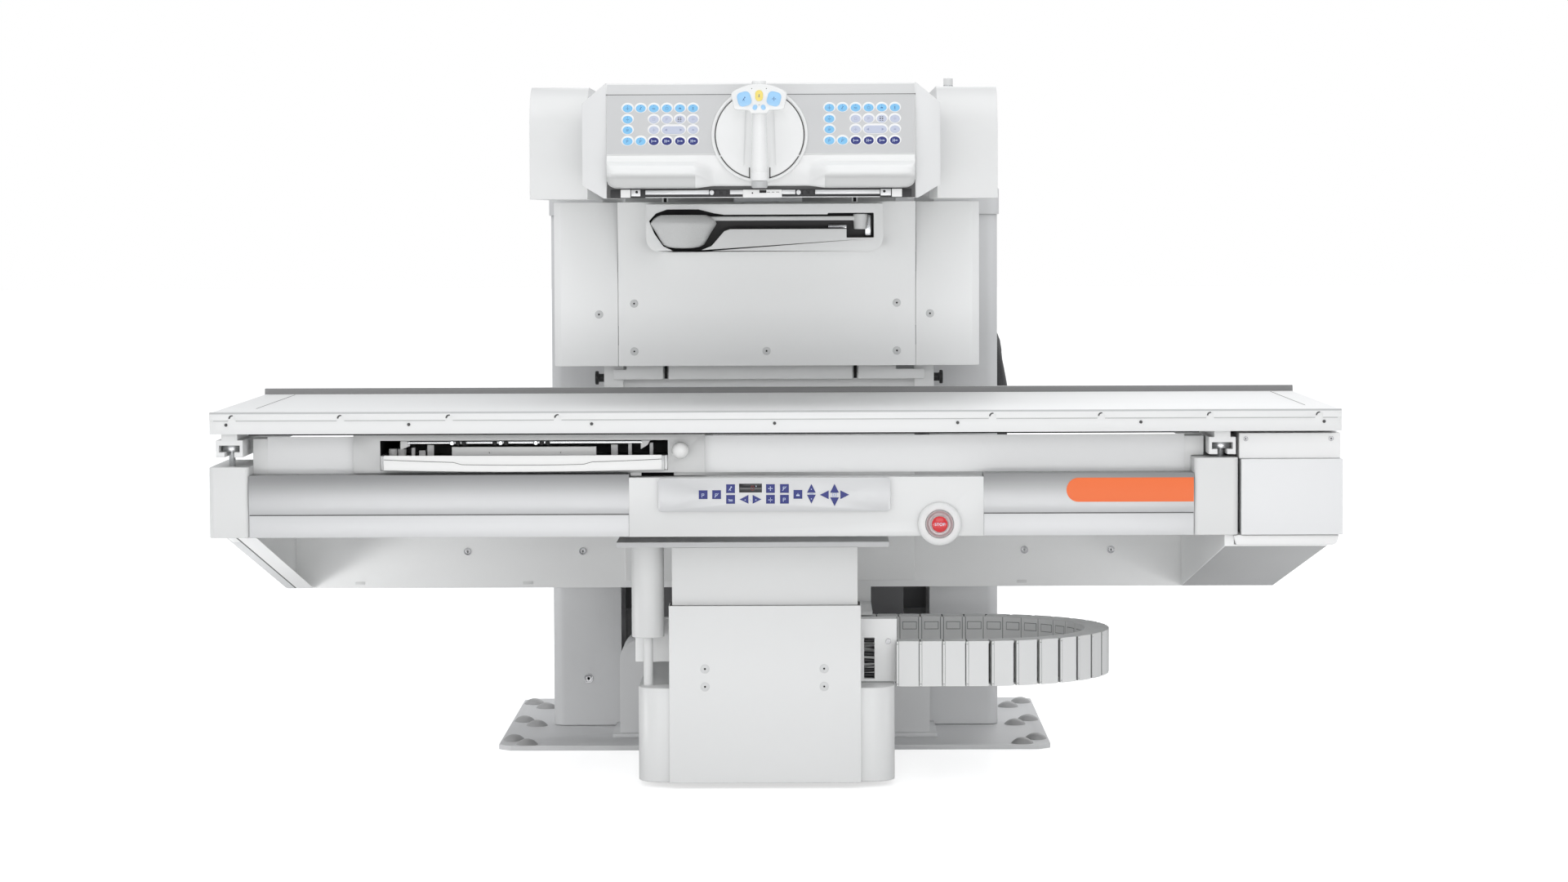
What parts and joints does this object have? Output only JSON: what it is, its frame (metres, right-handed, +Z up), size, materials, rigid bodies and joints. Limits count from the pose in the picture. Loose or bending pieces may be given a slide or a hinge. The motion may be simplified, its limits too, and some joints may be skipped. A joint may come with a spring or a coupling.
{
  "type": "tilting fluoroscopy x-ray table",
  "caption": "Tilting x-ray examination table with floating tabletop, x-ray tube below, detector head with control handle above, cassette tray and floor column.",
  "frame": {"origin": "centre of the floor anchors' pattern on the underside of the base plate", "axes": "+X along the tabletop to the operator's right, +Y from the operator toward the column, +Z up"},
  "size_m": [2.108, 1.576, 1.349],
  "materials": {
    "white_paint": "satin powder coat",
    "grey_paint": "satin powder coat",
    "light_grey_paint": "satin powder coat",
    "dark_paint": "matt black",
    "white_plastic": "fine matt",
    "grey_plastic": "fine matt",
    "silver_aluminium": "fine satin anodised",
    "steel": "ground",
    "blue_keys": "satin",
    "navy_key": "satin",
    "yellow_key": "satin",
    "red_plastic": "gloss",
    "textile": "woven, wrinkled"
  },
  "bodies": {
    "stand": {"base_plate": "grey_paint", "anchor_caps": "grey_plastic", "column_frame": "grey_paint", "column_covers": "grey_paint", "column_top_cap": "grey_paint", "pedestal": "grey_paint", "lift_spindle": "steel", "cable_sleeve": "textile"},
    "lift": {"lift_carriage": "dark_paint", "tilt_bearing": "steel"},
    "tilting_frame": {"rear_beam": "white_paint", "travel_rails": "steel", "left_end_plate": "white_paint", "right_end_frame": "white_paint", "end_caps": "white_plastic", "junction_box": "silver_aluminium", "front_rails": "silver_aluminium", "centre_cover": "white_plastic", "side_control_panel": "grey_plastic", "estop_collar": "grey_plastic", "front_beam": "white_paint", "cassette_guide_rod": "steel", "guide_rollers": "steel", "slot_curtains": "grey_plastic"},
    "emergency_stop": {"estop_button": "red_plastic"},
    "table_top": {"tabletop": "white_plastic", "accessory_rail": "white_paint", "rear_rail": "white_paint", "tabletop_channels": "white_paint"},
    "travelling_carriage": {"carriage_frame": "light_grey_paint", "tower_back_panel": "white_paint", "tube_arm": "light_grey_paint", "upper_tube_cover": "white_paint", "actuator_cylinder": "steel", "cable_box": "white_paint", "cable_chain": "grey_plastic"},
    "tube_unit": {"tube_front_cover": "white_paint", "tube_housing": "white_paint", "xray_tube": "steel"},
    "head": {"head_bracket": "steel", "tower_front_cover": "white_paint", "tower_side_covers": "white_paint", "ear_covers": "white_plastic", "detector_housing": "white_plastic", "control_fascia": "grey_plastic", "keypad_keys": "blue_keys", "grips": "grey_plastic", "handle_bezel": "grey_plastic", "flat_detector": "dark_paint", "cone_plate": "white_paint"},
    "handle": {"handle_grip": "white_plastic"},
    "left_button": {"button_left": "blue_keys"},
    "right_button": {"button_right": "blue_keys"},
    "middle_button": {"button_yellow": "yellow_key"},
    "rocker": {"rocker_key": "navy_key"},
    "cone": {"compression_cone": "white_plastic"},
    "cassette_carriage": {"cassette_unit": "white_paint"},
    "tray": {"cassette_tray": "steel"},
    "tray_lock": {"lock_knob": "white_plastic"}
  },
  "joints": [
    {"name": "table_lift", "type": "slide", "parent": "stand", "child": "lift", "axis": [0, 0, 1], "range_m": [0, 0.4]},
    {"name": "table_tilt", "type": "hinge", "parent": "lift", "child": "tilting_frame", "pos_m": [0, -0.08, 0.5], "axis": [0, 1, 0], "range_deg": [-15, 15]},
    {"name": "tabletop_float", "type": "slide", "parent": "tilting_frame", "child": "table_top", "axis": [0, -1, 0], "range_m": [0, 0.12]},
    {"name": "carriage_travel", "type": "slide", "parent": "tilting_frame", "child": "travelling_carriage", "axis": [1, 0, 0], "range_m": [-0.45, 0.45], "deforming": ["cable_chain"]},
    {"name": "head_lift", "type": "slide", "parent": "travelling_carriage", "child": "head", "axis": [0, 0, 1], "range_m": [-0.25, 0.05]},
    {"name": "tube_lower", "type": "slide", "parent": "travelling_carriage", "child": "tube_unit", "axis": [0, 0, -1], "range_m": [0, 0.08]},
    {"name": "cone_swing", "type": "hinge", "parent": "head", "child": "cone", "pos_m": [0.178, -0.368, 1.081], "axis": [0, 0, 1], "range_deg": [0, 95]},
    {"name": "handle_tilt", "type": "hinge", "parent": "head", "child": "handle", "pos_m": [-0.017, -1.103, 1.156], "axis": [0, 1, 0], "range_deg": [-8, 8], "stiffness_Nm_per_rad": 6},
    {"name": "left_button_press", "type": "slide", "parent": "handle", "child": "left_button", "axis": [0, 1, 0], "range_m": [0, 0.002], "stiffness_N_per_m": 600, "springref_m": -0.001},
    {"name": "right_button_press", "type": "slide", "parent": "handle", "child": "right_button", "axis": [0, 1, 0], "range_m": [0, 0.002], "stiffness_N_per_m": 600, "springref_m": -0.001},
    {"name": "middle_button_press", "type": "slide", "parent": "handle", "child": "middle_button", "axis": [0, 1, 0], "range_m": [0, 0.002], "stiffness_N_per_m": 600, "springref_m": -0.001},
    {"name": "rocker_tilt", "type": "hinge", "parent": "handle", "child": "rocker", "pos_m": [-0.017, -1.121, 1.286], "axis": [0, 0, 1], "range_deg": [-3, 3], "stiffness_Nm_per_rad": 0.4},
    {"name": "cassette_travel", "type": "slide", "parent": "tilting_frame", "child": "cassette_carriage", "axis": [1, 0, 0], "range_m": [0, 0.8], "deforming": ["slot_curtains"]},
    {"name": "tray_pull", "type": "slide", "parent": "cassette_carriage", "child": "tray", "axis": [0, -1, 0], "range_m": [0, 0.4]},
    {"name": "tray_lock_pull", "type": "slide", "parent": "cassette_carriage", "child": "tray_lock", "axis": [0, -1, 0], "range_m": [0, 0.008], "stiffness_N_per_m": 900, "springref_m": -0.001},
    {"name": "emergency_stop_press", "type": "slide", "parent": "tilting_frame", "child": "emergency_stop", "axis": [0, 1, 0], "range_m": [0, 0.005], "stiffness_N_per_m": 1200, "springref_m": -0.001}
  ]
}
